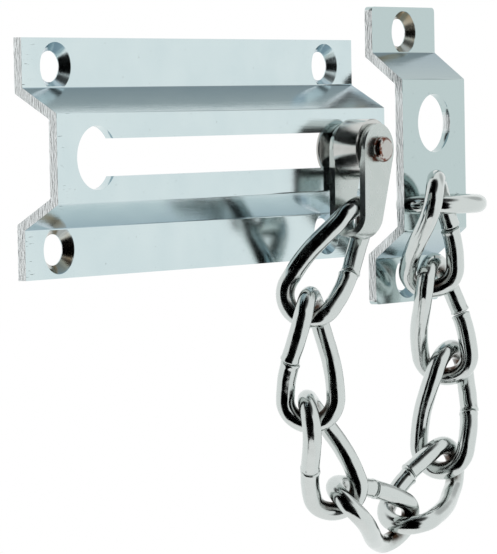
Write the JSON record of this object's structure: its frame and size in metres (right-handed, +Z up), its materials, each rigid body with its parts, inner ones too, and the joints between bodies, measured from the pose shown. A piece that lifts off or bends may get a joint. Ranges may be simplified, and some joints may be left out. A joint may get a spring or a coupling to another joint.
{
  "type": "door chain",
  "caption": "Door chain set: slotted track plate, sliding stud with sleeve and shackle, twisted link chain, and a plate with a staple.",
  "frame": {"origin": "middle of the track plate's back face, on the door", "axes": "+X along the track plate towards the staple plate, +Y into the door, +Z up; the room is on the -Y side"},
  "size_m": [0.1312, 0.0193, 0.1067],
  "materials": {
    "plate_satin_chrome": "satin, brushed along the length, on an extruded brass section",
    "wire_polished_chrome": "polished, plated drawn wire, slightly worn at the contacts",
    "strap_satin_chrome": "satin plated strap, its edges brighter",
    "sleeve_satin_chrome": "turned, plated, fine rings round it",
    "stud_worn_chrome": "turned, plated, the riveted rim worn through to copper-red metal"
  },
  "bodies": {
    "plates": {"track_plate": "plate_satin_chrome", "staple_plate": "plate_satin_chrome", "staple": "wire_polished_chrome"},
    "slider": {"slider_stud": "stud_worn_chrome"},
    "sleeve": {"spacer_sleeve": "sleeve_satin_chrome"},
    "shackle": {"shackle": "strap_satin_chrome"},
    "link_1": {"link_1": "wire_polished_chrome"},
    "link_2": {"link_2": "wire_polished_chrome"},
    "link_3": {"link_3": "wire_polished_chrome"},
    "link_4": {"link_4": "wire_polished_chrome"},
    "link_5": {"link_5": "wire_polished_chrome"},
    "link_6": {"link_6": "wire_polished_chrome"},
    "link_7": {"link_7": "wire_polished_chrome"},
    "link_8": {"link_8": "wire_polished_chrome"}
  },
  "joints": [
    {"name": "stud_slide", "type": "slide", "parent": "plates", "child": "slider", "axis": [1, 0, 0], "range_m": [-0.075, 0]},
    {"name": "sleeve_turn", "type": "hinge", "parent": "slider", "child": "sleeve", "pos_m": [0.036, -0.0134, 0], "axis": [0, 1, 0], "continuous": true},
    {"name": "shackle_pivot", "type": "hinge", "parent": "slider", "child": "shackle", "pos_m": [0.036, -0.0134, 0], "axis": [0, 1, 0], "range_deg": [-41.4, 0]},
    {"name": "link_1_pivot", "type": "hinge", "parent": "shackle", "child": "link_1", "pos_m": [0.03491, -0.01345, -0.01605], "axis": [0, 1, 0], "range_deg": [-2.5, 0]},
    {"name": "link_2_pivot", "type": "hinge", "parent": "link_1", "child": "link_2", "pos_m": [0.02341, -0.00668, -0.03109], "axis": [0, 1, 0], "range_deg": [0, 3.8]},
    {"name": "link_3_pivot", "type": "hinge", "parent": "link_2", "child": "link_3", "pos_m": [0.02584, -0.00679, -0.05048], "axis": [0, 1, 0], "range_deg": [0, 25.9]},
    {"name": "link_4_pivot", "type": "hinge", "parent": "link_3", "child": "link_4", "pos_m": [0.03672, -0.00716, -0.06757], "axis": [0, 1, 0], "range_deg": [0, 13.4]},
    {"name": "link_5_pivot", "type": "hinge", "parent": "link_4", "child": "link_5", "pos_m": [0.0552, -0.00776, -0.07342], "axis": [0, 1, 0], "range_deg": [0, 24.5]},
    {"name": "link_6_pivot", "type": "hinge", "parent": "link_5", "child": "link_6", "pos_m": [0.07459, -0.00676, -0.06674], "axis": [0, 1, 0], "range_deg": [0, 7.2]},
    {"name": "link_7_pivot", "type": "hinge", "parent": "link_6", "child": "link_7", "pos_m": [0.07667, -0.00734, -0.04408], "axis": [0, 1, 0], "range_deg": [0, 16.1]},
    {"name": "link_8_pivot", "type": "hinge", "parent": "link_7", "child": "link_8", "pos_m": [0.06712, -0.00814, -0.02737], "axis": [0, 1, 0], "range_deg": [-18.1, 0]}
  ],
  "couplings": [
    {"joint": "shackle_pivot", "follows": "stud_slide", "rad_per_m": 9.5039},
    {"joint": "link_1_pivot", "follows": "stud_slide", "rad_per_m": 0.5515},
    {"joint": "link_2_pivot", "follows": "stud_slide", "rad_per_m": -0.8424},
    {"joint": "link_3_pivot", "follows": "stud_slide", "rad_per_m": -5.9295},
    {"joint": "link_4_pivot", "follows": "stud_slide", "rad_per_m": -3.0508},
    {"joint": "link_5_pivot", "follows": "stud_slide", "rad_per_m": -5.613},
    {"joint": "link_6_pivot", "follows": "stud_slide", "rad_per_m": -1.622},
    {"joint": "link_7_pivot", "follows": "stud_slide", "rad_per_m": -3.6792},
    {"joint": "link_8_pivot", "follows": "stud_slide", "rad_per_m": 4.1306}
  ]
}
